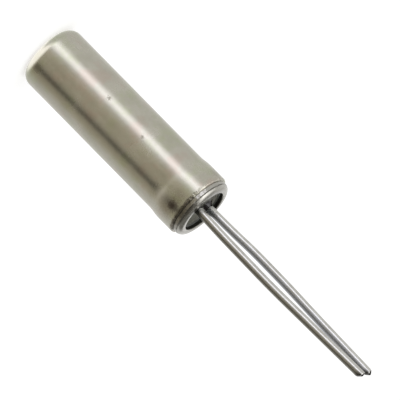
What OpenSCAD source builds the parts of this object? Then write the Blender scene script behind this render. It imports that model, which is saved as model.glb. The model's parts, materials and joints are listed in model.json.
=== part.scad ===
// Cylindrical quartz crystal unit with two wire leads.
// It stands on the flat closed end of its can, with the leads pointing up.
// Z = 0 is the outer face of the closed end, and the can's axis is the Z axis.

/* [Can] */
// Outer diameter of the barrel
can_d = 3; // [2.5:0.05:3.6]
// Length of the can from its closed end to its open edge
can_len = 9.46; // [7.8:0.02:12]
// Thickness of the drawn sheet
can_wall = 0.1; // [0.08:0.005:0.12]
// Outer radius of the corner round the closed end
end_r = 0.5; // [0.2:0.01:0.8]
// Length of can that grips the stem
seat_len = 0.86; // [0.7:0.01:1.05]
// How far the gripping end stands out beyond the barrel
swell = 0.0525; // [0.03:0.0025:0.08]
// Length over which the barrel swells
flare_len = 0.65; // [0.4:0.01:0.9]
// Rounding of the open edge
edge_r = 0.075; // [0.01:0.005:0.075]

/* [Stem ring] */
// Thickness of the wall of the metal ring, which is a press fit in the can
ring_wall = 0.39; // [0.33:0.01:0.47]
// How far the ring's lip stands out of the can
ring_out = 0.355; // [0.3:0.005:0.5]
// Rounding of the lip's outer edge
lip_outer_r = 0.19; // [0.1:0.01:0.25]
// Rounding of the lip's inner edge
lip_inner_r = 0.04; // [0.02:0.005:0.06]
// Rounding of the end that enters the can first
entry_r = 0.1; // [0.05:0.01:0.15]

/* [Glass seal] */
// Depth of the glass below the crest of the lip
glass_recess = 0.28; // [0.2:0.01:0.4]
// Rise of the glass where it wets the ring's wall
wall_rise = 0.07; // [0.03:0.01:0.1]
// Rise of the glass where it wets each lead
lead_rise = 0.31; // [0.2:0.01:0.36]

/* [Leads] */
// Diameter of the bare wire, inside the can and through the glass
wire_d = 0.34; // [0.26:0.01:0.42]
// Thickness of the tin coat on the outer wire
tin_t = 0.01; // [0.005:0.005:0.02]
// Length of bare wire between the glass and the tin
bare_len = 0.04; // [0.02:0.01:0.1]
// Distance between the two wires in the glass
lead_pitch = 1.1; // [0.9:0.01:1.15]
// Sideways place of both wires in the glass, from the can's axis
lead_y = -0.05; // [-0.08:0.01:0.08]
// Length of each lead from its collar of glass to its tip
lead_len = 9.9; // [8:0.01:14]
// Space between the two tips, across the pair
tip_gap = 0.34; // [0.2:0.01:0.6]
// Sideways shift of both tips, from the wires in the glass
tip_shift = 0.02; // [-0.04:0.01:0.04]
// Length of wire that reaches past the glass to the quartz
foot_len = 1.35; // [1.1:0.01:1.6]
// Lean of each lead towards the other one at its last bend
lead_lean = 0.03; // [0:0.01:0.06]
// Height of the bend in the right lead above the glass
right_bend_h = 4.4; // [3:0.1:5]
// Sideways bow of the right lead at its bend
right_bow = 0.07; // [0.02:0.01:0.12]
// Height of the left lead's first bend above the glass
left_bow_h = 2.6; // [2:0.1:3.5]
// Height of the left lead's second bend above the glass
left_return_h = 4.6; // [4:0.1:6]
// Sideways bow of the left lead, the other way, from its first bend to its second
left_bow = 0.04; // [0.02:0.01:0.12]

/* [Quartz] */
// Width of the quartz strip
blank_w = 1.8; // [1.75:0.05:2.2]
// Thickness of the quartz strip
blank_t = 0.17; // [0.1:0.01:0.3]
// Space between the quartz strip and the stem
blank_gap = 0.4; // [0.2:0.01:0.5]
// Space between the free end of the strip and the closed end of the can
end_gap = 1.7; // [0.8:0.05:2.2]
// Length of the bevel at the free end
bevel_len = 0.6; // [0.2:0.05:0.8]

/* [Electrodes and bonds] */
// Thickness of each electrode film
film_t = 0.01; // [0.005:0.005:0.02]
// Width of the working area of each electrode
electrode_w = 1.42; // [1.2:0.02:1.5]
// Space between the working area and the bevel
electrode_gap = 1.15; // [0.4:0.05:1.2]
// Space between the working area and the pads
pad_gap = 0.3; // [0.2:0.01:0.4]
// Width of the pads over the leads
pad_w = 0.62; // [0.5:0.01:0.64]
// Width of the track from each pad to its working area
track_w = 0.31; // [0.2:0.01:0.4]
// Thickness of the conductive cement between lead and pad
bond_t = 0.03; // [0.02:0.005:0.05]
// Diameter of each spot of cement
bond_d = 0.54; // [0.45:0.01:0.6]

/* [Hidden] */
$fn = 96;
ARC_STEPS = 12;
SMALL_ARC_STEPS = 6;
// Overlap where one solid is cut from, or joined to, another
LAP = 0.1;
// Least space left beside a collar of glass
CLEARANCE = 0.01;
// How much wider than the wire the ball at each bend is
BEND_LAP = 0.001;
// Turn of a collar's slope, which would be upright at the wire at 90
COLLAR_SWEEP = 82;

can_r = can_d / 2;
rim_r = can_r + swell;
ring_r = rim_r - can_wall;
bore_r = ring_r - ring_wall;
wire_r = wire_d / 2;
lead_r = wire_r + tin_t;
lead_x = lead_pitch / 2;
tip_x = tip_gap / 2 + lead_r;

// The collar of glass round each lead keeps clear of the glass at the wall and of the other collar
wall_space = bore_r - wall_rise - norm([lead_x, lead_y]) - wire_r - CLEARANCE;
collar_w = min(lead_rise, wall_space, lead_x - wire_r - CLEARANCE);

// Heights, from the closed end towards the leads
ring_z = can_len - seat_len;
flare_z = ring_z - flare_len;
crest_z = can_len + ring_out;
glass_z = crest_z - glass_recess;
lead_z = glass_z + lead_rise + bare_len;
tip_z = lead_z + lead_len;
foot_z = ring_z - foot_len;
blank_top_z = ring_z - blank_gap;
blank_end_z = can_wall + end_gap;
flat_top_z = ring_z - blank_gap / 2;

// Layers across the can, from the flat on each wire's foot to the front of the quartz
film_back_y = lead_y + bond_t;
blank_y = film_back_y + film_t;
film_front_y = blank_y + blank_t;
// The bevel leaves half of the thickness, and the cement climbs half of the wire's foot
bevel_t = blank_t / 2;
bond_rise = wire_r / 2;

// The swell of the can is two equal arcs that meet at a common tangent
flare_r = (flare_len * flare_len + swell * swell) / (4 * swell);
flare_a = 2 * atan(swell / flare_len);

right_path = [
    [lead_x, lead_y, lead_z],
    [lead_x - lead_lean, lead_y + right_bow, lead_z + right_bend_h],
    [tip_x, lead_y + tip_shift, tip_z]
];
left_path = [
    [-lead_x, lead_y, lead_z],
    [-lead_x, lead_y - left_bow, lead_z + left_bow_h],
    [-lead_x + lead_lean, lead_y - left_bow, lead_z + left_return_h],
    [-tip_x, lead_y + tip_shift, tip_z]
];

function arc(centre, r, from, to, steps = ARC_STEPS) =
    [for (i = [0:steps]) let (a = from + (to - from) * i / steps) centre + r * [cos(a), sin(a)]];

// Half section of the can's outer surface, or of a surface a given depth inside it
function can_outline(depth, top) = concat(
    [[0, depth]],
    arc([can_r - end_r, end_r], end_r - depth, -90, 0),
    arc([can_r + flare_r, flare_z], flare_r + depth, 180, 180 - flare_a, SMALL_ARC_STEPS),
    arc([rim_r - flare_r, ring_z], flare_r - depth, -flare_a, 0, SMALL_ARC_STEPS),
    top
);

module can() {
    color([0.62, 0.6, 0.52])
        rotate_extrude()
            difference() {
                polygon(can_outline(0, concat(
                    arc([rim_r - edge_r, can_len - edge_r], edge_r, 0, 90, SMALL_ARC_STEPS),
                    [[0, can_len]]
                )));
                polygon(can_outline(can_wall, [[ring_r, can_len + LAP], [0, can_len + LAP]]));
            }
}

// Pressed ring, its lip rounded more on the outside than on the inside
module stem_ring() {
    color([0.72, 0.71, 0.67])
        rotate_extrude()
            polygon(concat(
                [[bore_r, ring_z]],
                arc([ring_r - entry_r, ring_z + entry_r], entry_r, -90, 0, SMALL_ARC_STEPS),
                arc([ring_r - lip_outer_r, crest_z - lip_outer_r], lip_outer_r, 0, 90),
                arc([bore_r + lip_inner_r, crest_z - lip_inner_r], lip_inner_r, 90, 180, SMALL_ARC_STEPS)
            ));
}

// The glass fills the ring, dips between its wall and the leads, and climbs both
module glass_seal() {
    color([0.13, 0.15, 0.13])
        difference() {
            union() {
                rotate_extrude()
                    polygon(concat(
                        [[0, ring_z], [bore_r, ring_z]],
                        arc([bore_r - wall_rise, glass_z + wall_rise], wall_rise, 0, -90, SMALL_ARC_STEPS),
                        [[0, glass_z]]
                    ));
                for (side = [-1, 1])
                    translate([side * lead_x, lead_y, glass_z])
                        collar();
            }
            for (side = [-1, 1])
                translate([side * lead_x, lead_y, ring_z - LAP])
                    cylinder(h = lead_z - ring_z + 2 * LAP, d = wire_d);
        }
}

// Collar of glass drawn up a lead, with a hollow slope that is steepest at the wire
module collar() {
    slope = arc([1, 1], 1, -90, -90 - COLLAR_SWEEP, SMALL_ARC_STEPS);
    rotate_extrude()
        polygon(concat(
            [[0, -LAP], [wire_r + collar_w, -LAP]],
            [for (p = slope) [wire_r + collar_w * p.x, lead_rise * p.y]],
            [[0, lead_rise * (1 - cos(COLLAR_SWEEP))]]
        ));
}

// Straight length of tinned wire between two points
module run(start, end) {
    way = end - start;
    translate(start)
        rotate([0, acos(way.z / norm(way)), atan2(way.y, way.x)])
            cylinder(h = norm(way), r = lead_r);
}

// Tinned wire along a path, with a ball a hair wider than the wire at each slight bend
module outer_wire(path) {
    for (i = [1:len(path) - 1])
        run(path[i - 1], path[i]);
    for (i = [1:len(path) - 2])
        translate(path[i])
            sphere(r = lead_r + BEND_LAP);
}

// Bare wire through the glass, flattened where the quartz is cemented to it
module inner_wire(x) {
    difference() {
        translate([x, lead_y, foot_z])
            cylinder(h = lead_z + LAP - foot_z, d = wire_d);
        translate([x - wire_d, lead_y, foot_z - LAP])
            cube([2 * wire_d, wire_d, flat_top_z - foot_z + LAP]);
    }
}

module lead_left() {
    color([0.76, 0.75, 0.72]) {
        inner_wire(-lead_x);
        outer_wire(left_path);
    }
}

module lead_right() {
    color([0.76, 0.75, 0.72]) {
        inner_wire(lead_x);
        outer_wire(right_path);
    }
}

// Strip of quartz held at its upper end, its free end bevelled on both faces
module quartz_blank() {
    blank_len = blank_top_z - blank_end_z;
    color([0.85, 0.9, 0.92, 0.6])
        translate([-blank_w / 2, blank_y, blank_top_z])
            rotate([0, 90, 0])
                linear_extrude(blank_w)
                    polygon([
                        [0, 0],
                        [blank_len - bevel_len, 0],
                        [blank_len, (blank_t - bevel_t) / 2],
                        [blank_len, (blank_t + bevel_t) / 2],
                        [blank_len - bevel_len, blank_t],
                        [0, blank_t]
                    ]);
}

// Film on one face of the quartz: working area, track and pad
module film(y, side) {
    area_z = blank_end_z + bevel_len + electrode_gap;
    area_top_z = foot_z - pad_gap;
    translate([-electrode_w / 2, y, area_z])
        cube([electrode_w, film_t, area_top_z - area_z]);
    translate([side * lead_x - track_w / 2, y, area_top_z - LAP])
        cube([track_w, film_t, pad_gap + 2 * LAP]);
    translate([side * lead_x - pad_w / 2, y, foot_z])
        cube([pad_w, film_t, blank_top_z - foot_z]);
}

module electrode_back() {
    color([0.8, 0.8, 0.82])
        film(film_back_y, 1);
}

// The front film is carried over the end of the quartz to its own pad on the back
module electrode_front() {
    color([0.8, 0.8, 0.82]) {
        film(film_front_y, -1);
        translate([-lead_x - pad_w / 2, film_back_y, foot_z])
            cube([pad_w, film_t, blank_top_z + film_t - foot_z]);
        translate([-lead_x - pad_w / 2, film_back_y, blank_top_z])
            cube([pad_w, blank_t + 2 * film_t, film_t]);
    }
}

// Spot of conductive cement that wraps the flat foot of a lead
module bond(x) {
    color([0.55, 0.55, 0.56])
        difference() {
            translate([x, film_back_y, (foot_z + blank_top_z) / 2])
                rotate([90, 0, 0])
                    cylinder(h = bond_t + bond_rise, d = bond_d);
            inner_wire(x);
        }
}

module bond_left() {
    bond(-lead_x);
}

module bond_right() {
    bond(lead_x);
}

can();
stem_ring();
glass_seal();
lead_left();
lead_right();
quartz_blank();
electrode_front();
electrode_back();
bond_left();
bond_right();
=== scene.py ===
import json
from math import atan, atan2, ceil, cos, degrees, exp, pi, radians, sin, sqrt

import bmesh
import bpy
from mathutils import Matrix, Vector
from mathutils.geometry import delaunay_2d_cdt


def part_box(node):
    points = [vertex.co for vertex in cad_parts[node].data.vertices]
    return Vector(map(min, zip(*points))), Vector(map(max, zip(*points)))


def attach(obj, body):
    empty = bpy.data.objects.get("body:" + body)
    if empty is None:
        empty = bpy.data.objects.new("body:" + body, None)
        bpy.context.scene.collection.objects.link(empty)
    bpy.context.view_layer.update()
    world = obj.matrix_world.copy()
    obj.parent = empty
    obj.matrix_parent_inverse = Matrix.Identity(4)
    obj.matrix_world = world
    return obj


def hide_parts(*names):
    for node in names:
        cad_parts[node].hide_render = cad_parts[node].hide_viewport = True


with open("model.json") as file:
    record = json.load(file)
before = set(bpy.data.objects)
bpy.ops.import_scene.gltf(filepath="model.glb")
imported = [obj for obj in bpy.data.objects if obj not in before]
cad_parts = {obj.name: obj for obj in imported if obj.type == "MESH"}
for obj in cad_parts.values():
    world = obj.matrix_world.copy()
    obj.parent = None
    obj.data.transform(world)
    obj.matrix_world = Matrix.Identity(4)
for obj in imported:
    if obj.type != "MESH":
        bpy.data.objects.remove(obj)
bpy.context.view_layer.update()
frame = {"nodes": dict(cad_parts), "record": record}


# ---------------------------------------------------------------- stem ring
# The ring that the can is pressed over: a short collar of iron-nickel alloy, pressed to
# shape and plated. Its lip is rounded outside and flat on top, darker on one side and at its
# front as painted shade, and dark inside from the seal's oxide and from painted shade; a fine
# groove runs round it just under the lip, with painted shade and grime in it.
MM = 0.001
RING_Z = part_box("stem_ring")[0].z / MM
CREST_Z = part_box("stem_ring")[1].z / MM
RING_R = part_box("stem_ring")[1].x / MM
BORE_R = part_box("glass_seal")[1].x / MM
LIP_OUTER_R = 0.24
LIP_INNER_R = 0.04
LIP_START = 19
ENTRY_R = 0.1
GROOVE_Z = CREST_Z - 0.18
GROOVE_HALF = 0.02
GROOVE_DEPTH = 0.022
GRIME_EDGE = 0.032
GRIME_FULL = 0.018
TURN_STEPS = 256
SHARP_TURN = 35
RING_BRIGHT = (0.42, 0.41, 0.375, 1)
RING_DEEP = (0.29, 0.28, 0.25, 1)
PAINTED_SHADE_SIDE = 12
RING_PAINTED_SHADE = (0.13, 0.115, 0.09, 1)
GROOVE_SHADE_AND_GRIME = (0.09, 0.085, 0.07, 1)
BORE_OXIDE_AND_SHADE = (0.045, 0.045, 0.038, 1)
LIP_PAINTED_SHADES = [
    # painted shade on the front of the lip: bearing, facing at its edge and where it is full,
    # strength, reach from the bore at its edge and where it is full, colour, roughness
    (-28, 0.86, 0.99, 0.75, 0.165, 0.115, (0.09, 0.08, 0.07, 1), 0.38),
    (-64, 0.78, 0.95, 0.55, 0.175, 0.135, (0.17, 0.165, 0.15, 1), 0.34),
]


def arc(centre, radius, start, end, steps):
    """Points of an arc in a half section, as (radius, height) pairs in millimetres."""
    angles = [radians(start + (end - start) * i / steps) for i in range(steps + 1)]
    return [(centre[0] + radius * cos(a), centre[1] + radius * sin(a)) for a in angles]


def piece(name, mesh):
    """Makes an object of a bmesh, smooth but for its sharp edges."""
    bmesh.ops.remove_doubles(mesh, verts=mesh.verts, dist=1e-7)
    bmesh.ops.recalc_face_normals(mesh, faces=mesh.faces)
    for face in mesh.faces:
        face.smooth = True
    for edge in mesh.edges:
        if len(edge.link_faces) == 2 and edge.calc_face_angle(0) > radians(SHARP_TURN):
            edge.smooth = False
    data = bpy.data.meshes.new(name)
    mesh.to_mesh(data)
    mesh.free()
    made = bpy.data.objects.new(name, data)
    bpy.context.scene.collection.objects.link(made)
    return made


def turned(name, outline):
    """Turns a closed half section, in millimetres, about the Z axis."""
    mesh = bmesh.new()
    turns = [2 * pi * k / TURN_STEPS for k in range(TURN_STEPS)]
    rows = []
    for r, z in outline:
        if r == 0:
            rows.append([mesh.verts.new((0, 0, z * MM))] * TURN_STEPS)
        else:
            rows.append([mesh.verts.new((r * cos(t) * MM, r * sin(t) * MM, z * MM)) for t in turns])
    for a, b in zip(rows, rows[1:] + rows[:1]):
        for k in range(TURN_STEPS):
            after = (k + 1) % TURN_STEPS
            corners = list(dict.fromkeys([a[k], a[after], b[after], b[k]]))
            if len(corners) > 2:
                mesh.faces.new(corners)
    return piece(name, mesh)


def put(tree, kind, settings=None, **inputs):
    """Adds a shader node, sets its properties, and sets or links its inputs by name or number."""
    node = tree.nodes.new(kind)
    for key, value in (settings or {}).items():
        setattr(node, key, value)
    for key, value in inputs.items():
        socket = node.inputs[int(key[1:]) if key.startswith("_") else key]
        if isinstance(value, bpy.types.NodeSocket):
            tree.links.new(value, socket)
        else:
            socket.default_value = value
    return node


def blended(tree, factor, first, second):
    """Mixes two colours."""
    return put(tree, "ShaderNodeMix", {"data_type": "RGBA"}, _0=factor, _6=first, _7=second).outputs[2]


def reckoned(tree, operation, first, second=0.0):
    """One step of arithmetic on two values."""
    return put(tree, "ShaderNodeMath", {"operation": operation}, _0=first, _1=second).outputs[0]


def plus(tree, first, second):
    """Sum of two values."""
    return reckoned(tree, "ADD", first, second)


def times(tree, first, second):
    """Product of two values."""
    return reckoned(tree, "MULTIPLY", first, second)


def swing(tree, noise, reach):
    """An uneven offset, from half of reach below zero to half of reach above it."""
    return times(tree, reckoned(tree, "SUBTRACT", noise, 0.5), reach)


def ranged(tree, value, low, high, to_low=0.0, to_high=1.0):
    """Maps a value from one range to another, and stops at its ends."""
    return put(tree, "ShaderNodeMapRange", Value=value, _1=low, _2=high, _3=to_low, _4=to_high).outputs[0]


def vector_step(tree, operation, first, second=(0, 0, 0)):
    """One step of arithmetic on two vectors, which gives a Vector or a Value."""
    return put(tree, "ShaderNodeVectorMath", {"operation": operation}, _0=first, _1=second).outputs


def place_in_mm(tree):
    """Place on the part, in millimetres."""
    at = put(tree, "ShaderNodeTexCoord").outputs["Object"]
    return put(tree, "ShaderNodeVectorMath", {"operation": "SCALE"}, _0=at, Scale=1 / MM).outputs[0]


# What the surfaces of the part show: slow cloudy changes of tone, a warmer and a
# greener stain in patches, a fine grain, and hairline rubs from being tumbled in bulk.
RUB_LINES = [
    # how the hairlines lean, and how far they are drawn out
    ((0.35, 0.2, 0.0), (1.0, 9.0, 1.0)),
    ((-0.5, 0.9, 0.4), (10.0, 1.0, 1.0)),
    ((0.1, 0.1, 0.8), (1.0, 1.0, 0.12)),
]
grain = bpy.data.node_groups.new("tumbled_grain", "ShaderNodeTree")
for label, per_mm in (("Cloud per mm", 0.8), ("Grain per mm", 14.0), ("Rub per mm", 5.0)):
    socket = grain.interface.new_socket(name=label, in_out="INPUT", socket_type="NodeSocketFloat")
    socket.default_value = per_mm
for label in ("Cloud", "Grain", "Rubs", "Stain"):
    grain.interface.new_socket(name=label, in_out="OUTPUT", socket_type="NodeSocketFloat")
sizes = grain.nodes.new("NodeGroupInput").outputs
in_mm = place_in_mm(grain)
cloud = put(grain, "ShaderNodeTexNoise", Vector=in_mm, Scale=sizes["Cloud per mm"],
            Detail=3.0, Roughness=0.55).outputs[0]
fine = put(grain, "ShaderNodeTexNoise", Vector=in_mm, Scale=sizes["Grain per mm"],
           Detail=4.0, Roughness=0.6).outputs[0]
aside = vector_step(grain, "ADD", in_mm, (17.0, 5.0, 31.0))["Vector"]
stain = put(grain, "ShaderNodeTexNoise", Vector=aside, Scale=sizes["Cloud per mm"],
            Detail=4.0, Roughness=0.6).outputs[0]
rubs = None
for lean, drawn_out in RUB_LINES:
    leaned = put(grain, "ShaderNodeMapping", Vector=in_mm, Rotation=lean, Scale=drawn_out).outputs[0]
    lines = put(grain, "ShaderNodeTexNoise", Vector=leaned, Scale=sizes["Rub per mm"],
                Detail=2.0, Roughness=0.4).outputs[0]
    thin = ranged(grain, lines, 0.60, 0.72)
    rubs = thin if rubs is None else reckoned(grain, "MAXIMUM", rubs, thin)
put(grain, "NodeGroupOutput", Cloud=cloud, Grain=fine, Rubs=rubs, Stain=stain)


def grained(tree, cloud_per_mm, grain_per_mm, rub_per_mm):
    """Places the grain group in a material with its own sizes, and gives what it puts out."""
    node = put(tree, "ShaderNodeGroup", {"node_tree": grain}, _0=cloud_per_mm, _1=grain_per_mm,
               _2=rub_per_mm)
    return node.outputs


def new_finish(name):
    """Starts a material and gives its node tree and its surface shader."""
    material = bpy.data.materials.new(name)
    material.use_nodes = True
    return material, material.node_tree, material.node_tree.nodes["Principled BSDF"]


def bumped(tree, surface, relief, depth_mm):
    """Adds a relief to a surface, over the relief that it has."""
    bump = put(tree, "ShaderNodeBump", Height=relief, Strength=1.0, Distance=depth_mm * MM)
    for link in surface.inputs["Normal"].links:
        tree.links.new(link.from_socket, bump.inputs["Normal"])
    tree.links.new(bump.outputs[0], surface.inputs["Normal"])


def plated_metal(name, light_tone, deep_tone, smooth, dull, bump_mm, sizes):
    """A bright plated or tinned metal with its own tones, roughness range and grain."""
    material, tree, surface = new_finish(name)
    marks = grained(tree, *sizes)
    tone = blended(tree, ranged(tree, marks["Cloud"], 0.3, 0.7), deep_tone, light_tone)
    rubbed = times(tree, marks["Rubs"], 0.35)
    tree.links.new(blended(tree, rubbed, tone, light_tone), surface.inputs["Base Color"])
    rough = ranged(tree, plus(tree, marks["Cloud"], rubbed), 0.3, 0.9, smooth, dull)
    tree.links.new(rough, surface.inputs["Roughness"])
    bumped(tree, surface, marks["Grain"], bump_mm)
    surface.inputs["Metallic"].default_value = 1.0
    return material, tree, surface, marks


def dulled(tree, surface, mask, colour, rough):
    """Lays a colour with its own roughness over a material where mask is 1."""
    tone = surface.inputs["Base Color"].links[0].from_socket
    tree.links.new(blended(tree, mask, tone, colour), surface.inputs["Base Color"])
    under = surface.inputs["Roughness"].links[0].from_socket
    over = put(tree, "ShaderNodeMix", {"data_type": "FLOAT"}, _0=mask, _2=under, _3=rough).outputs[0]
    tree.links.new(over, surface.inputs["Roughness"])


def measured(tree):
    """Height above the closed end, distance from the axis, and place across, in millimetres."""
    parts = put(tree, "ShaderNodeSeparateXYZ", Vector=place_in_mm(tree)).outputs
    level = put(tree, "ShaderNodeCombineXYZ", X=parts["X"], Y=parts["Y"]).outputs[0]
    return parts["Z"], vector_step(tree, "LENGTH", level)["Value"], parts["X"]


def outward(tree):
    """Level direction from the part's axis to each place on it."""
    at = put(tree, "ShaderNodeTexCoord").outputs["Object"]
    return vector_step(tree, "NORMALIZE", vector_step(tree, "MULTIPLY", at, (1, 1, 0))["Vector"])["Vector"]


def facing(tree):
    """Direction in which the surface faces at each place."""
    return put(tree, "ShaderNodeTexCoord").outputs["Normal"]


def side_mask(tree, toward, bearing_deg, unevenness, low, high, strength):
    """Mask for one side of a piece, where the direction toward is near one bearing."""
    bearing = (cos(radians(bearing_deg)), sin(radians(bearing_deg)), 0)
    near = vector_step(tree, "DOT_PRODUCT", toward, bearing)["Value"]
    near = plus(tree, near, swing(tree, unevenness, 0.5))
    return ranged(tree, near, low, high, 0.0, strength)


def dented(tree, surface, mask, per_metre, depth_mm):
    """Adds coarse small dents over a surface where mask is 1."""
    at = put(tree, "ShaderNodeTexCoord").outputs["Object"]
    dents = put(tree, "ShaderNodeTexNoise", Vector=at, Scale=per_metre, Detail=2.0, Roughness=0.5).outputs[0]
    bumped(tree, surface, swing(tree, dents, mask), depth_mm)


stem_ring = turned("stem_ring_lip", (
    [(BORE_R, RING_Z)]
    + arc((RING_R - ENTRY_R, RING_Z + ENTRY_R), ENTRY_R, -90, 0, 10)
    + [(RING_R, GROOVE_Z - GROOVE_HALF), (RING_R - GROOVE_DEPTH, GROOVE_Z)]
    + arc((RING_R - LIP_OUTER_R, CREST_Z - LIP_OUTER_R), LIP_OUTER_R, LIP_START, 90, 20)
    + arc((BORE_R + LIP_INNER_R, CREST_Z - LIP_INNER_R), LIP_INNER_R, 90, 180, 8)
))
plating, tree, surface, marks = plated_metal(
    "ring_plating", RING_BRIGHT, RING_DEEP, 0.17, 0.32, 0.0022, (2.2, 20.0, 7.0))
height, away, _ = measured(tree)
# painted shade, brown, on the side of the ring that faces one bearing
shade_side = side_mask(tree, facing(tree), PAINTED_SHADE_SIDE, marks["Cloud"], 0.70, 0.92, 0.7)
dulled(tree, surface, shade_side, RING_PAINTED_SHADE, 0.34)
# painted shade on the front of the lip, near the bore
for bearing_deg, edge, full, strength, edge_reach, full_reach, colour, rough in LIP_PAINTED_SHADES:
    mask = side_mask(tree, outward(tree), bearing_deg, marks["Cloud"], edge, full, strength)
    mask = times(tree, mask, ranged(tree, away, BORE_R + edge_reach, BORE_R + full_reach))
    dulled(tree, surface, mask, colour, rough)
# painted shade and grime in the groove, in patches
off_groove = reckoned(tree, "ABSOLUTE", reckoned(tree, "SUBTRACT", height, GROOVE_Z))
patches = ranged(tree, marks["Cloud"], 0.35, 0.6, 0.2, 0.9)
shade_and_grime = times(tree, ranged(tree, off_groove, GRIME_EDGE, GRIME_FULL), patches)
dulled(tree, surface, shade_and_grime, GROOVE_SHADE_AND_GRIME, 0.4)
# dark inside: oxide where the glass was fused to it, and painted shade in the bore
bore_shade = plus(tree, away, swing(tree, marks["Grain"], 0.05))
bore_shade = ranged(tree, bore_shade, BORE_R + 0.02, BORE_R + 0.005)
bore_shade = times(tree, bore_shade, ranged(tree, height, CREST_Z - 0.02, CREST_Z - 0.06))
dulled(tree, surface, bore_shade, BORE_OXIDE_AND_SHADE, 0.42)
dented(tree, surface, ranged(tree, height, CREST_Z - 0.10, CREST_Z - 0.20), 4600.0, 0.035)
stem_ring.data.materials.append(plating)
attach(stem_ring, "root")
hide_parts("stem_ring")


# ---------------------------------------------------------------- leads
# Two wires of iron-nickel alloy, bare inside the can and through the glass, and dipped in
# tin outside. They come closer together towards their tips, which are cut off with pliers.
WIRE_R = 0.17
LEAD_R = 0.187
LEAD_X = 0.55
FLAT_Y = -0.05
LEAD_Z = 9.885
TIP_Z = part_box("lead_left")[1].z / MM
FOOT_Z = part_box("lead_left")[0].z / MM
FLAT_TOP_Z = 8.40
FIRST_BEND_Z = 11.2
RIGHT_WAY = [
    (0.53, -0.08, LEAD_Z), (LEAD_X, -0.035, FIRST_BEND_Z), (0.52, 0.02, 14.285),
    (0.35, -0.03, TIP_Z - 0.03),
]
LEFT_WAY = [
    (-0.53, -0.03, LEAD_Z), (-0.53, -0.047, FIRST_BEND_Z), (-LEAD_X, -0.09, 12.4),
    (-0.52, -0.09, 14.485), (-0.459, -0.05, 16.4), (-0.35, -0.03, TIP_Z),
]
STRAIGHT = [
    # height and radius, from the foot up to the full coat of tin
    (FLAT_TOP_Z, WIRE_R), (8.6, WIRE_R), (9.0, WIRE_R), (9.5, WIRE_R), (LEAD_Z - 0.18, WIRE_R),
    (LEAD_Z - 0.14, WIRE_R + 0.01), (LEAD_Z - 0.10, LEAD_R), (LEAD_Z, LEAD_R),
]
# distance back from the tip, and how far the cut has rolled the wire's edge in there
CUT_EDGE = [(0.10, 0.0), (0.06, 0.0), (0.035, 0.006), (0.018, 0.022)]
CUT_ACROSS = Vector((0.39, 0.92, 0.0))
CUTS = [
    # node, way, and how deep the cut is on the side away from CUT_ACROSS and on the side towards it
    ("lead_left", LEFT_WAY, 0.11, 0.17),
    ("lead_right", RIGHT_WAY, 0.0, 0.16),
]
BEND_REACH = 0.95
BEND_STEPS = 14
ROUND_STEPS = 40
TIN_BRIGHT = (0.56, 0.555, 0.53, 1)
TIN_DEEP = (0.42, 0.41, 0.385, 1)
BARE_ALLOY = (0.72, 0.72, 0.68, 1)
LEFT_DIP_Z = 10.12
RIGHT_DIP_Z = 9.95
LEAD_SHADE_SIDE = 22
LEFT_PAINTED_SHADE = (0.33, 0.35, 0.41, 1)
RIGHT_PAINTED_SHADE = (0.19, 0.185, 0.17, 1)
CUT_PAINTED_SHADE = (0.05, 0.045, 0.035, 1)
CUT_BRIGHT = (0.12, 0.115, 0.10, 1)
CUT_DEEP = (0.05, 0.045, 0.04, 1)


def eased(way):
    """A bent wire's centre line: the straight runs of way, with each bend eased."""
    points = [Vector(p) for p in way]
    line = [points[0]]
    for before, at, after in zip(points, points[1:], points[2:]):
        near = min(BEND_REACH, 0.45 * (before - at).length, 0.45 * (after - at).length)
        start = at + (before - at).normalized() * near
        end = at + (after - at).normalized() * near
        for i in range(BEND_STEPS + 1):
            t = i / BEND_STEPS
            line.append(start * (1 - t) ** 2 + at * 2 * t * (1 - t) + end * t * t)
    line.append(points[-1])
    return line


def wire_ring(mesh, centre, along, radius):
    """One ring of a wire's wall."""
    level = Vector((1, 0, 0))
    side = (level - along * level.dot(along)).normalized()
    other = along.cross(side)
    turns = [2 * pi * k / ROUND_STEPS for k in range(ROUND_STEPS)]
    return [mesh.verts.new((centre + (side * cos(t) + other * sin(t)) * radius) * MM) for t in turns]


def half_foot(mesh, ring, foot):
    """The foot below a lead's lowest ring, pressed to a half round with its flat to the quartz."""
    x, y = foot.x * MM, foot.y * MM
    flat_y = (FLAT_Y + 1e-6) * MM
    half = sorted((v for v in ring if v.co.y < flat_y), key=lambda v: atan2(v.co.x - x, y - v.co.y))
    rest = sorted((v for v in ring if v.co.y >= flat_y), key=lambda v: atan2(v.co.x - x, v.co.y - y))
    lower = [mesh.verts.new((v.co.x, v.co.y, FOOT_Z * MM)) for v in half]
    for (a, b), (c, d) in zip(zip(half, half[1:]), zip(lower, lower[1:])):
        mesh.faces.new([a, b, d, c])
    mesh.faces.new([half[0], half[-1], lower[-1], lower[0]])
    mesh.faces.new(lower)
    mesh.faces.new([half[0]] + rest + [half[-1]])


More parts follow.
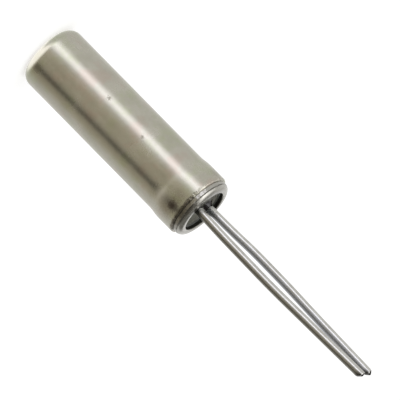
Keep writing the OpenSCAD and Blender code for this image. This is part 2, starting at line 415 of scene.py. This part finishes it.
def lead(name, way, near_cut, far_cut):
    """A whole lead: its flat foot, its bare stretch, the shoulder of the tin, and the bent outer wire."""
    mesh = bmesh.new()
    line = eased(way)
    foot = Vector((way[0][0], way[0][1], 0))
    up = Vector((0, 0, 1))
    stops = [(foot + up * z, up, r) for z, r in STRAIGHT]
    for behind, point, ahead in zip(line, line[1:], line[2:] + line[-1:]):
        stops.append((point, (ahead - behind).normalized(), LEAD_R))
    # the cut end: a wedge with a rolled edge, cut back by its own depth on either side
    tip, along, _ = stops.pop()
    for back, rolled in CUT_EDGE:
        stops.append((tip - along * back, along, LEAD_R - rolled))
    rings = [wire_ring(mesh, *stop) for stop in stops]
    for ring in rings[-len(CUT_EDGE):]:
        for vertex in ring:
            lean = (vertex.co - tip * MM).dot(CUT_ACROSS) / (LEAD_R * MM)
            vertex.co -= along * (far_cut * lean if lean > 0 else -near_cut * lean) * MM
    for a, b in zip(rings, rings[1:]):
        for k in range(ROUND_STEPS):
            after = (k + 1) % ROUND_STEPS
            mesh.faces.new([a[k], a[after], b[after], b[k]])
    mesh.faces.new(rings[-1]).material_index = 1
    half_foot(mesh, rings[0], foot)
    return piece(name, mesh)


# the tin, with the dull bare alloy below the height to which each wire was dipped
tin, tree, surface, marks = plated_metal(
    "tin_dip", TIN_BRIGHT, TIN_DEEP, 0.17, 0.30, 0.003, (2.2, 14.0, 5.0))
height, _, across = measured(tree)
dipped_from = ranged(tree, across, -0.3, 0.3, LEFT_DIP_Z, RIGHT_DIP_Z)
above_dip = reckoned(tree, "SUBTRACT", plus(tree, height, swing(tree, marks["Stain"], 0.2)), dipped_from)
dulled(tree, surface, ranged(tree, above_dip, 0.15, -0.12), BARE_ALLOY, 0.66)
# painted shade down the side of each wire that faces one bearing, bluish on the left wire and dark on the
# right, and black painted shade on that side near the cuts
side_shade_tone = blended(tree, ranged(tree, across, -0.1, 0.1), LEFT_PAINTED_SHADE, RIGHT_PAINTED_SHADE)
toward = facing(tree)
shaded_side = side_mask(tree, toward, LEAD_SHADE_SIDE, marks["Cloud"], 0.40, 0.90, 0.85)
dulled(tree, surface, shaded_side, side_shade_tone, 0.30)
# black painted shade on that side, near the cut
shade_at_cut = side_mask(tree, toward, LEAD_SHADE_SIDE, marks["Cloud"], 0.30, 0.80, 0.9)
shade_at_cut = times(tree, ranged(tree, height, TIP_Z - 0.38, TIP_Z - 0.12), shade_at_cut)
dulled(tree, surface, shade_at_cut, CUT_PAINTED_SHADE, 0.40)
cut_end = plated_metal("cut_wire", CUT_BRIGHT, CUT_DEEP, 0.35, 0.6, 0.012, (5.0, 24.0, 9.0))[0]

for node, way, near_cut, far_cut in CUTS:
    wire = lead(node + "_wire", way, near_cut, far_cut)
    wire.data.materials.append(tin)
    wire.data.materials.append(cut_end)
    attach(wire, "root")
    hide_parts(node)


# ---------------------------------------------------------------- glass seal
# Dark sealing glass, melted in the ring round both leads. It sinks between them, and
# climbs the ring's wall and, higher, each lead as it wets the metal.
GLASS_Z = CREST_Z - 0.28
WALL_RISE = 0.07
WALL_FADE = 0.06
LEAD_RISE = 0.31
SINK = 0.025
COLLAR_TURN = 82
COLLAR_GAP = 0.01
COLLAR_W = min(LEAD_RISE, BORE_R - WALL_RISE - sqrt(LEAD_X ** 2 + FLAT_Y ** 2) - WIRE_R - COLLAR_GAP)
ROOTS = [Vector(way[0][:2]) for way in (LEFT_WAY, RIGHT_WAY)]
RIM_STEPS = 160
HOLE_STEPS = 64
# rows of points round each lead and inside the wall, by their distance from it
LEAD_ROWS = (0.007, 0.016, 0.028, 0.043, 0.061, 0.082, 0.107, 0.137, 0.17, 0.205, 0.24)
WALL_ROWS = (0.01, 0.022, 0.037, 0.055, 0.077, 0.105, 0.14)
POOL_STEP = 0.045
POOL_ROW = 0.866 * POOL_STEP
POOL_FROM_WALL = 0.16
POOL_FROM_LEAD = 0.25
GREY_GREEN = (0.100, 0.110, 0.076, 1)
PAINTED_LIGHT_GREEN = (0.21, 0.205, 0.175, 1)
SPECKS = (0.05, 0.055, 0.045, 1)
WET_BLACK_AND_SHADE = (0.006, 0.003, 0.004, 1)
WALL_PAINTED_SHADE = (0.04, 0.045, 0.035, 1)


def glass_height(x, y):
    """Height of the glass, in millimetres: a shallow bowl with a hollow rise at each lead and the wall."""
    out = sqrt(x * x + y * y)
    wall = max(BORE_R - out, 0.0)
    rise = (WALL_RISE + SINK) * exp(-wall / WALL_FADE) - SINK * (1 - (out / BORE_R) ** 2)
    for root in ROOTS:
        away = max((Vector((x, y)) - root).length - WIRE_R, 0.0)
        if away < COLLAR_W:
            part = min(1 - away / COLLAR_W, sin(radians(COLLAR_TURN)))
            rise = max(rise, LEAD_RISE * (1 - sqrt(1 - part * part)) - SINK * sqrt(1 - part))
    return GLASS_Z + rise


def circle(centre, radius, steps):
    """Points round a circle in the plan."""
    turns = [2 * pi * k / steps for k in range(steps)]
    return [centre + radius * Vector((cos(t), sin(t))) for t in turns]


def closed(first, steps):
    """Edges that join a loop of points, by their numbers."""
    return [(first + k, first + (k + 1) % steps) for k in range(steps)]


def glass_plan(with_pool):
    """Plan of the disc, in millimetres, as points and triangles with a hole for each lead."""
    middle = Vector((0, 0))
    points = circle(middle, BORE_R, RIM_STEPS)
    edges = closed(0, RIM_STEPS)
    for root in ROOTS:
        edges += closed(len(points), HOLE_STEPS)
        points += circle(root, WIRE_R, HOLE_STEPS)
    if with_pool:
        for root in ROOTS:
            for away in LEAD_ROWS:
                points += circle(root, WIRE_R + away, HOLE_STEPS)
        pool = [spot for inward in WALL_ROWS for spot in circle(middle, BORE_R - inward, RIM_STEPS)]
        half = ceil(BORE_R / POOL_STEP)
        for i in range(-half, half + 1):
            for j in range(-half, half + 1):
                spot = Vector(((i + 0.5 * (j % 2)) * POOL_STEP, j * POOL_ROW))
                if spot.length < BORE_R - POOL_FROM_WALL:
                    pool.append(spot)
        clear = WIRE_R + POOL_FROM_LEAD
        points += [spot for spot in pool if all((spot - root).length > clear for root in ROOTS)]
    places, _, triangles = delaunay_2d_cdt(points, edges, [], 0, 1e-6)[:3]
    kept = []
    for triangle in triangles:
        centre = sum((places[k] for k in triangle), Vector((0, 0))) / 3
        if all((centre - root).length > WIRE_R for root in ROOTS):
            kept.append(triangle)
    return places, kept


def loop_of(edge):
    """Which opening an open edge belongs to: 0 for the rim, 1 and 2 for the holes round the leads."""
    middle = (edge.verts[0].co + edge.verts[1].co) / 2 / MM
    if sqrt(middle.x ** 2 + middle.y ** 2) > BORE_R - 0.01:
        return 0
    return 1 if middle.x < 0 else 2


def glass_disc(name):
    """The fused disc: its pooled upper face, its flat lower face, its outer wall and the holes' walls."""
    mesh = bmesh.new()
    for upper in (True, False):
        places, triangles = glass_plan(upper)
        heights = [glass_height(p.x, p.y) if upper else RING_Z for p in places]
        made = [mesh.verts.new((p.x * MM, p.y * MM, z * MM)) for p, z in zip(places, heights)]
        for triangle in triangles:
            mesh.faces.new([made[k] for k in triangle])
    open_edges = [edge for edge in mesh.edges if len(edge.link_faces) == 1]
    for opening in (0, 1, 2):
        loops = [edge for edge in open_edges if edge.is_valid and loop_of(edge) == opening]
        bmesh.ops.bridge_loops(mesh, edges=loops)
    return piece(name, mesh)


seal = glass_disc("glass_seal_disc")
glass, tree, surface = new_finish("sealing_glass")
marks = grained(tree, 2.6, 16.0, 4.0)
_, away, across = measured(tree)
# painted light: the glass is paler towards -X, in cloudy patches
painted_light = ranged(tree, plus(tree, across, times(tree, marks["Cloud"], 0.5)), 0.55, -0.35)
tone = blended(tree, painted_light, GREY_GREEN, PAINTED_LIGHT_GREEN)
tone = blended(tree, ranged(tree, marks["Grain"], 0.56, 0.66, 0.0, 0.4), tone, SPECKS)
tree.links.new(tone, surface.inputs["Base Color"])
tree.links.new(ranged(tree, marks["Grain"], 0.3, 0.7, 0.26, 0.38), surface.inputs["Roughness"])
# smooth where it wets the leads, and black there as painted shade round their roots
at = put(tree, "ShaderNodeTexCoord").outputs["Object"]
level_place = vector_step(tree, "MULTIPLY", at, (1 / MM, 1 / MM, 0.0))["Vector"]
for root in ROOTS:
    gap = vector_step(tree, "DISTANCE", level_place, (root.x, root.y, 0))["Value"]
    wet_and_shaded = ranged(tree, plus(tree, gap, swing(tree, marks["Cloud"], 0.2)), 0.40, 0.29)
    dulled(tree, surface, wet_and_shaded, WET_BLACK_AND_SHADE, 0.08)
# painted shade, darker towards the ring's wall
dulled(tree, surface, ranged(tree, away, BORE_R - 0.09, BORE_R - 0.03), WALL_PAINTED_SHADE, 0.25)
bumped(tree, surface, marks["Cloud"], 0.004)
surface.inputs["IOR"].default_value = 1.52
seal.data.materials.append(glass)
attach(seal, "root")
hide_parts("glass_seal")


# ---------------------------------------------------------------- quartz strip
# A lapped strip of quartz, held at its upper end only so that the rest is free to vibrate.
# Its working area and pads are vacuum-deposited silver.
QUARTZ_GREY = (0.80, 0.84, 0.85, 1)
QUARTZ_PALE = (0.90, 0.93, 0.94, 1)
SILVER_BRIGHT = (0.88, 0.87, 0.85, 1)
SILVER_DEEP = (0.80, 0.79, 0.77, 1)


def coat(node, material):
    """Gives a carried-over solid its own material."""
    slots = frame["nodes"][node].data.materials
    slots.clear()
    slots.append(material)


quartz, tree, surface = new_finish("lapped_quartz")
marks = grained(tree, 0.9, 30.0, 8.0)
tree.links.new(blended(tree, marks["Cloud"], QUARTZ_GREY, QUARTZ_PALE), surface.inputs["Base Color"])
tree.links.new(ranged(tree, marks["Grain"], 0.3, 0.7, 0.22, 0.42), surface.inputs["Roughness"])
surface.inputs["IOR"].default_value = 1.54
surface.inputs["Transmission Weight"].default_value = 0.7
silver = plated_metal(
    "silver_film", SILVER_BRIGHT, SILVER_DEEP, 0.14, 0.26, 0.0006, (1.0, 26.0, 5.0))[0]
coat("quartz_blank", quartz)
coat("electrode_front", silver)
coat("electrode_back", silver)


# ---------------------------------------------------------------- bonds
# Spots of silver-filled cement, which hold the quartz on the flat feet of the leads and
# carry the current into its pads.
CEMENT_DARK = (0.42, 0.42, 0.42, 1)
CEMENT_PALE = (0.60, 0.60, 0.59, 1)
cement, tree, surface = new_finish("silver_cement")
marks = grained(tree, 3.0, 20.0, 6.0)
tree.links.new(blended(tree, marks["Cloud"], CEMENT_DARK, CEMENT_PALE), surface.inputs["Base Color"])
bumped(tree, surface, marks["Grain"], 0.006)
surface.inputs["Metallic"].default_value = 0.6
surface.inputs["Roughness"].default_value = 0.6
coat("bond_left", cement)
coat("bond_right", cement)


# ---------------------------------------------------------------- can
# A cup drawn from thin nickel silver, with a rounded corner round its closed end. Its open
# end is swollen where it has been pressed over the stem ring, and left with a plain edge.
CAN_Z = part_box("can")[1].z / MM
RIM_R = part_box("can")[1].x / MM
CAN_R = next(m["dims"]["r_mm"] for m in frame["record"]["mounts"] if m["name"] == "barrel")
CAN_WALL = RIM_R - RING_R
END_R = 0.5
EDGE_R = 0.075
FLARE_LEN = 0.65
FLARE_Z = RING_Z - FLARE_LEN
SWELL = RIM_R - CAN_R
FLARE_R = (FLARE_LEN ** 2 + SWELL ** 2) / (4 * SWELL)
FLARE_TURN = 2 * degrees(atan(SWELL / FLARE_LEN))
NICKEL_DEEP = (0.375, 0.362, 0.302, 1)
NICKEL_LIGHT = (0.445, 0.428, 0.368, 1)
GREENER = (0.36, 0.385, 0.255, 1)
WARMER = (0.42, 0.345, 0.295, 1)
RUBBED = (0.50, 0.485, 0.43, 1)
EDGE_PAINTED_SHADE = (0.09, 0.072, 0.05, 1)
WORN_DULL = (0.45, 0.43, 0.365, 1)
STAIN_AND_SHADE_BROWN = (0.17, 0.135, 0.095, 1)
SPOT_BLACK = (0.10, 0.08, 0.065, 1)
SCUFF_GREY = (0.20, 0.185, 0.15, 1)
PLACES_WORN_STAINED_AND_SHADED = [
    # bearing, height, reach, how ragged, strength, colour, roughness:
    # the wall rubbed dull where it starts to swell
    (10.0, 8.36, 0.56, 0.8, 0.90, WORN_DULL, 0.42),
    # brown stains, most of them near the swelled end; the first, near the closed end, is painted shade that
    # darkens the mirrored dark streak there
    (8.5, 0.62, 0.30, 1.6, 0.45, STAIN_AND_SHADE_BROWN, 0.36),
    (3.5, 9.02, 0.42, 1.6, 0.38, STAIN_AND_SHADE_BROWN, 0.36),
    (14.0, 8.75, 0.50, 1.6, 0.30, STAIN_AND_SHADE_BROWN, 0.36),
    (-12.0, 8.95, 0.35, 1.6, 0.22, STAIN_AND_SHADE_BROWN, 0.36),
    (27.0, 8.9, 0.45, 1.6, 0.30, STAIN_AND_SHADE_BROWN, 0.36),
    (70.0, 8.7, 0.5, 1.6, 0.35, STAIN_AND_SHADE_BROWN, 0.36),
    (150.0, 9.0, 0.45, 1.6, 0.4, STAIN_AND_SHADE_BROWN, 0.36),
    (-140.0, 8.85, 0.5, 1.6, 0.35, STAIN_AND_SHADE_BROWN, 0.36),
    (-95.0, 9.1, 0.4, 1.6, 0.3, STAIN_AND_SHADE_BROWN, 0.36),
    # the darkest of them
    (7.4, 9.00, 0.30, 1.1, 0.95, SPOT_BLACK, 0.36),
    # scuffs along the barrel
    (-42.0, 3.77, 0.12, 3.0, 0.7, SCUFF_GREY, 0.45),
    (-36.0, 6.00, 0.10, 3.0, 0.7, SCUFF_GREY, 0.45),
    (120.0, 4.4, 0.08, 3.0, 0.7, SCUFF_GREY, 0.45),
    (-160.0, 6.6, 0.07, 3.0, 0.7, SCUFF_GREY, 0.45),
    (60.0, 2.2, 0.06, 3.0, 0.7, SCUFF_GREY, 0.45),
]


def can_side(depth):
    """Half section of the can's outer surface, or of a surface a given depth inside it."""
    return (
        [(0, depth)]
        + arc((CAN_R - END_R, END_R), END_R - depth, -90, 0, 32)
        + arc((CAN_R + FLARE_R, FLARE_Z), FLARE_R + depth, 180, 180 - FLARE_TURN, 10)
        + arc((RIM_R - FLARE_R, RING_Z), FLARE_R - depth, -FLARE_TURN, 0, 10)
    )


def marked_place(tree, noise, bearing_deg, at_z, reach, ragged):
    """Mask of one place on the can's wall that is worn, stained, scuffed or darkened with painted shade."""
    at = put(tree, "ShaderNodeTexCoord").outputs["Object"]
    centre = Vector((CAN_R * cos(radians(bearing_deg)), CAN_R * sin(radians(bearing_deg)), at_z)) * MM
    gap = reckoned(tree, "DIVIDE", vector_step(tree, "DISTANCE", at, centre)["Value"], reach * MM)
    return ranged(tree, plus(tree, gap, swing(tree, noise, ragged)), 1.0, 0.3)


can = turned("can_shell", (
    can_side(0)
    + arc((RIM_R - EDGE_R, CAN_Z - EDGE_R), EDGE_R, 0, 90, 8)
    + [(RING_R, CAN_Z)]
    + can_side(CAN_WALL)[::-1]
))
nickel, tree, surface = new_finish("nickel_silver")
marks = grained(tree, 0.9, 16.0, 4.0)
height, _, _ = measured(tree)
tone = blended(tree, ranged(tree, marks["Cloud"], 0.3, 0.7), NICKEL_DEEP, NICKEL_LIGHT)
tone = blended(tree, ranged(tree, marks["Stain"], 0.52, 0.66, 0.0, 0.5), tone, GREENER)
tone = blended(tree, ranged(tree, marks["Stain"], 0.46, 0.34, 0.0, 0.5), tone, WARMER)
tone = blended(tree, times(tree, marks["Rubs"], 0.18), tone, RUBBED)
tree.links.new(tone, surface.inputs["Base Color"])
tree.links.new(ranged(tree, marks["Cloud"], 0.3, 0.7, 0.24, 0.28), surface.inputs["Roughness"])
for bearing_deg, at_z, reach, ragged, strength, colour, rough in PLACES_WORN_STAINED_AND_SHADED:
    mask = marked_place(tree, marks["Grain"], bearing_deg, at_z, reach, ragged)
    dulled(tree, surface, times(tree, mask, strength), colour, rough)
# painted shade, brown, along one side of the edge
shade_side = side_mask(tree, outward(tree), PAINTED_SHADE_SIDE, marks["Cloud"], 0.55, 0.85, 0.85)
near_edge = plus(tree, height, times(tree, marks["Grain"], 0.08))
near_edge = ranged(tree, near_edge, CAN_Z - 0.12, CAN_Z - 0.03)
dulled(tree, surface, times(tree, shade_side, near_edge), EDGE_PAINTED_SHADE, 0.38)
# the rolled edge was nicked all round when the can was pressed over the ring
bumped(tree, surface, marks["Grain"], 0.0012)
dented(tree, surface, ranged(tree, height, CAN_Z - 0.16, CAN_Z - 0.08), 5200.0, 0.06)
surface.inputs["Metallic"].default_value = 1.0
can.data.materials.append(nickel)
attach(can, "root")
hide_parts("can")


# ---------------------------------------------------------------- floor
# A plain white table top. To the camera it also glows a little, so that it shows white
# and keeps the part's shadow.
FLOOR_HALF = 0.6
FLOOR_GREY = (0.8, 0.8, 0.8, 1)
FLOOR_GLOW = 0.50
WHITE = (1, 1, 1, 1)
mesh = bmesh.new()
bmesh.ops.create_grid(mesh, x_segments=8, y_segments=8, size=FLOOR_HALF)
floor = piece("floor", mesh)
table_white, tree, surface = new_finish("white_table")
surface.inputs["Roughness"].default_value = 0.9
surface.inputs["Base Color"].default_value = FLOOR_GREY
surface.inputs["Specular IOR Level"].default_value = 0.0
seen = put(tree, "ShaderNodeLightPath").outputs["Is Camera Ray"]
glow = put(tree, "ShaderNodeEmission", Color=WHITE, Strength=FLOOR_GLOW).outputs[0]
both = put(tree, "ShaderNodeAddShader", _0=surface.outputs[0], _1=glow).outputs[0]
to_eye = put(tree, "ShaderNodeMixShader", Fac=seen, _1=surface.outputs[0], _2=both).outputs[0]
tree.links.new(to_eye, tree.nodes["Material Output"].inputs["Surface"])
floor.data.materials.append(table_white)
# the metal mirrors the table of the surround instead
floor.visible_glossy = False


# ---------------------------------------------------------------- surround and lamps
# A plain pale room, which lights the part softly from all round. What the metal mirrors in
# it is the table in front, the darker room above that, one tall window, and white behind.
# all bearings of the surround are counted from the camera's own
FRONT = -23.0
# a ramp's colours stop at 1, so these are divided by BRIGHTEST there and multiplied after it
BRIGHTEST = 3.4
EVEN_GREY = (0.55, 0.55, 0.55, 1)
TABLE_BROWN = (0.60, 0.55, 0.45)
NEUTRAL = (1.0, 1.0, 0.98)
SHEEN = (1.0, 1.0, 1.1)
BROWNISH = (1.0, 0.93, 0.76)


def toned(levels, tone):
    """Stops of one tone, from bearings in degrees round from the front and brightnesses there."""
    return [(bearing_deg, tuple(level * c for c in tone)) for bearing_deg, level in levels]


# the table: pale behind and at the sides, the window's sheen on its left, brown in front, and
# a dark gap on its right; first a little way off, then nearer, and then what lies steeply below
TABLE = (
    toned([(-180, 1.0), (-125, 0.9), (-70, 0.95), (-56, 0.9)], NEUTRAL)
    + toned([(-36, 2.8)], SHEEN)
    + toned([(-18, 0.85)], NEUTRAL)
    + toned([(-4, 0.75), (14, 0.6), (30, 0.65), (46, 0.5)], BROWNISH)
    + toned([(56, 0.1), (64, 0.1), (72, 0.5), (90, 0.65)], BROWNISH)
    + toned([(110, 0.85), (180, 1.0)], NEUTRAL)
)
MID_TABLE = [(at, TABLE_BROWN if 45 < at < 70 else colour) for at, colour in TABLE]
NEAR_TABLE = [
    (-180, (2.1, 2.1, 2.1)), (-172, (2.1, 2.1, 2.1)), (-160, (0.95, 0.97, 0.93)),
    (-55, (0.90, 0.92, 0.88)), (-32, (1.8, 1.8, 1.8)), (-20, (2.15, 2.12, 2.12)),
    (180, (2.05, 2.03, 2.08)),
]
# the room: low down, at the height of the window, and overhead
LOW_ROOM = [
    (-180, (1.2, 1.2, 1.2)), (-125, (1.1, 1.1, 1.1)), (-105, (0.66, 0.66, 0.65)),
    (-85, (0.80, 0.80, 0.78)), (-50, (1.4, 1.4, 1.4)), (-29, (1.4, 1.4, 1.4)),
    (-18, (0.28, 0.27, 0.25)), (70, (0.08, 0.075, 0.06)), (100, (0.3, 0.3, 0.28)),
    (125, (1.1, 1.1, 1.1)), (180, (1.2, 1.2, 1.2)),
]
WINDOW_AND_DARK_SIDE = [
    (-48, (2.2, 2.2, 2.25)), (-30, (2.2, 2.2, 2.25)), (-18, (0.42, 0.41, 0.39)),
    (0, (0.26, 0.25, 0.23)), (30, (0.20, 0.19, 0.17)), (70, (0.22, 0.21, 0.19)),
    (105, (0.38, 0.38, 0.36)), (180, (0.30, 0.30, 0.29)),
]
ROOM = [
    (-180, (0.60, 0.60, 0.59)), (-165, (0.85, 0.85, 0.84)), (-150, (1.0, 1.0, 0.99)),
    (-105, (1.05, 1.05, 1.03)), (-92, (1.5, 1.5, 1.49)), (-80, (2.0, 2.0, 2.0)),
] + WINDOW_AND_DARK_SIDE
CEILING = [
    (-180, (0.50, 0.50, 0.49)), (-130, (0.60, 0.60, 0.59)), (-105, (0.80, 0.80, 0.80)),
    (-92, (1.1, 1.1, 1.09)), (-80, (1.8, 1.8, 1.8)),
] + WINDOW_AND_DARK_SIDE
world = bpy.data.worlds.new("room")
bpy.context.scene.world = world
world.use_nodes = True
# surfaces find the light of so soft a room by themselves, so it isn't sampled as a lamp
world.cycles.sampling_method = "NONE"
tree = world.node_tree
direction = put(tree, "ShaderNodeTexCoord").outputs["Generated"]
turned_room = put(tree, "ShaderNodeVectorRotate", {"rotation_type": "Z_AXIS"}, Vector=direction,
                  Angle=radians(-FRONT)).outputs[0]
parts = put(tree, "ShaderNodeSeparateXYZ", Vector=turned_room).outputs
share = ranged(tree, reckoned(tree, "ARCTAN2", parts["Y"], parts["X"]), -pi, pi)


def round_room(stops):
    """Colours round the room, as a ramp over the bearing."""
    ramp = put(tree, "ShaderNodeValToRGB", _0=share)
    made = ramp.color_ramp.elements
    for i, (bearing_deg, colour) in enumerate(stops):
        at = (bearing_deg + 180) / 360
        stop = made[i] if i < 2 else made.new(at)
        stop.position = at
        stop.color = tuple(c / BRIGHTEST for c in colour) + (1,)
    return ramp.outputs[0]


def from_height(low_deg, high_deg):
    """0 below one angle of elevation, 1 above the other."""
    return ranged(tree, parts["Z"], sin(radians(low_deg)), sin(radians(high_deg)))


below = blended(tree, from_height(-30, -21), round_room(MID_TABLE), round_room(TABLE))
below = blended(tree, from_height(-47, -36), round_room(NEAR_TABLE), below)
above = blended(tree, from_height(19, 27), round_room(LOW_ROOM), round_room(ROOM))
above = blended(tree, from_height(42, 52), above, round_room(CEILING))
around = blended(tree, from_height(-3, 3), below, above)
lit = put(tree, "ShaderNodeVectorMath", {"operation": "SCALE"}, _0=around, Scale=BRIGHTEST).outputs[0]
# metal and glass mirror this room, an even grey lights the part, and the camera sees white
path = put(tree, "ShaderNodeLightPath").outputs
mirrored = reckoned(tree, "MAXIMUM", path["Is Glossy Ray"], path["Is Transmission Ray"])
plain = blended(tree, mirrored, EVEN_GREY, lit)
shown = blended(tree, path["Is Camera Ray"], plain, WHITE)
tree.links.new(shown, tree.nodes["Background"].inputs["Color"])
tree.nodes["Background"].inputs["Strength"].default_value = 1.0
LAMP_AIM = Vector((0, 0, 0.01))


def lamp(name, bearing_deg, height_deg, distance, size, power):
    """A soft square lamp that faces the part."""
    light = bpy.data.lights.new(name, "AREA")
    light.size = size
    light.energy = power
    made = bpy.data.objects.new(name, light)
    a, e = radians(bearing_deg), radians(height_deg)
    made.location = Vector((cos(a) * cos(e), sin(a) * cos(e), sin(e))) * distance + LAMP_AIM
    made.rotation_mode = "QUATERNION"
    made.rotation_quaternion = (made.location - LAMP_AIM).to_track_quat("Z", "Y")
    bpy.context.scene.collection.objects.link(made)
    return made


lamp("window_lamp", FRONT - 36, 38, 0.30, 0.22, 0.12)
overhead = lamp("overhead_lamp", FRONT + 120, 75, 0.30, 0.30, 0.20)
overhead.visible_glossy = False


# ---------------------------------------------------------------- camera
# A long lens that looks at the part from the side and a little from above, aimed near its
# stem and rolled so that the part lies slantwise across the view.
VIEW_TURN = 67.0
VIEW_RISE = 15.37
ROLL = 45.50
LENS = 1500.0
SENSOR = 36.0
VIEW_WIDTH = 16.83
AIM_ALONG = 8.975
AIM_ACROSS = -0.2116
a, e, roll = radians(VIEW_TURN), radians(VIEW_RISE), radians(ROLL)
back_way = Vector((sin(a) * cos(e), -cos(a) * cos(e), sin(e)))
level_right = Vector((cos(a), sin(a), 0))
level_up = back_way.cross(level_right)
right = level_up * cos(roll) - level_right * sin(roll)
up = -level_up * sin(roll) - level_right * cos(roll)
aim = level_up * (AIM_ALONG * MM) + level_right * (AIM_ACROSS * MM)
distance = VIEW_WIDTH * MM * LENS / SENSOR
camera = bpy.data.objects.new("camera", bpy.data.cameras.new("camera"))
camera.data.lens = LENS
camera.data.sensor_width = SENSOR
camera.data.clip_start, camera.data.clip_end = 0.01, 3.0
turn = Matrix((right, up, back_way)).transposed().to_4x4()
camera.matrix_world = Matrix.Translation(aim + back_way * distance) @ turn
bpy.context.scene.collection.objects.link(camera)
bpy.context.scene.camera = camera
bpy.context.scene.view_settings.view_transform = "Standard"
